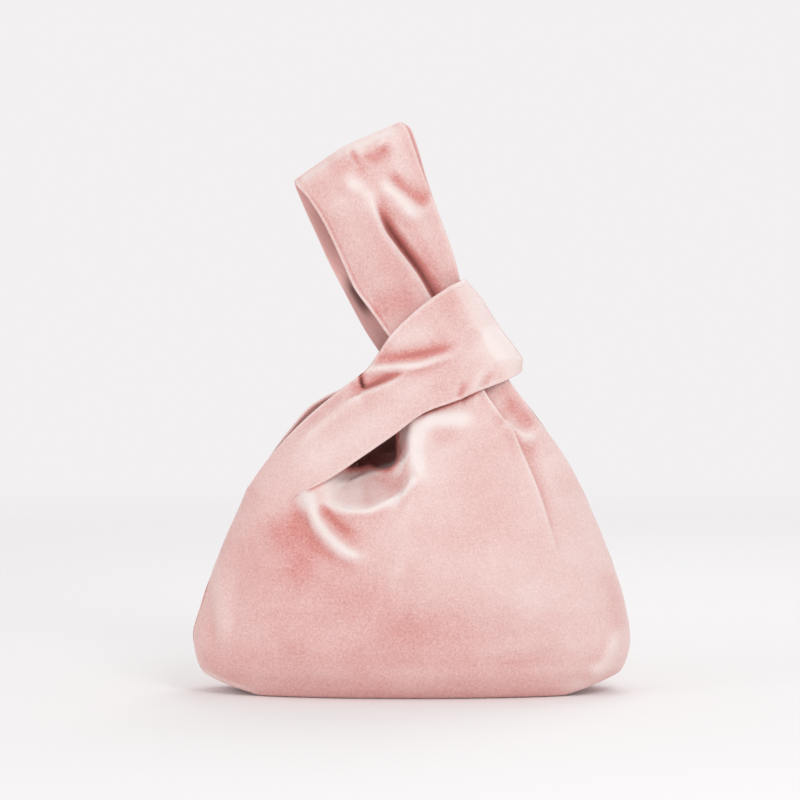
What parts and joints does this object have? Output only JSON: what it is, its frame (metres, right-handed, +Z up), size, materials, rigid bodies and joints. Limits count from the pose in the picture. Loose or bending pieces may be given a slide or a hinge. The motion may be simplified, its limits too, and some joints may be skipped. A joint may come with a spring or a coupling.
{
  "type": "knotted wrist bag",
  "caption": "Small lined velvet pouch with two cloth handles, one loop drawn through the other to close the mouth and hang on the wrist.",
  "frame": {"origin": "middle of the base, on the surface that the bag stands on", "axes": "+Z up, +X to the right of the bag's front, and the front with the open mouth faces -Y"},
  "size_m": [0.2599, 0.12, 0.3372],
  "materials": {
    "velvet": "short-pile velvet, matte with a soft sheen",
    "lining": "smooth satin",
    "thread": "matte sewing thread"
  },
  "bodies": {
    "bag": {"outer_front": "velvet", "outer_back": "velvet", "outer_base": "velvet", "lining_front": "lining", "lining_back": "lining", "lining_base": "lining", "side_seam_left": "thread", "side_seam_right": "thread", "base_seam": "thread"},
    "short_handle": {"short_handle_front": "velvet", "short_handle_back": "velvet", "short_handle_lining_front": "lining", "short_handle_lining_back": "lining", "short_handle_seam": "thread"},
    "handle_foot": {"long_handle_foot_front": "velvet", "long_handle_foot_back": "velvet", "long_handle_foot_lining_front": "lining", "long_handle_foot_lining_back": "lining"},
    "handle_loop": {"long_handle_front": "velvet", "long_handle_back": "velvet", "long_handle_lining_front": "lining", "long_handle_lining_back": "lining", "long_handle_seam": "thread"}
  },
  "joints": [
    {"name": "short_handle_lift", "type": "hinge", "parent": "bag", "child": "short_handle", "pos_m": [-0.08, 0, 0.145], "axis": [0, -1, 0], "range_deg": [0, 3]},
    {"name": "long_handle_lean", "type": "hinge", "parent": "bag", "child": "handle_foot", "pos_m": [0.036, 0, 0.185], "axis": [0, -1, 0], "range_deg": [0, 8]},
    {"name": "long_handle_flop", "type": "hinge", "parent": "handle_foot", "child": "handle_loop", "pos_m": [0.0005, 0, 0.2448], "axis": [0.7934, 0, 0.6088], "range_deg": [-100, 100]}
  ]
}
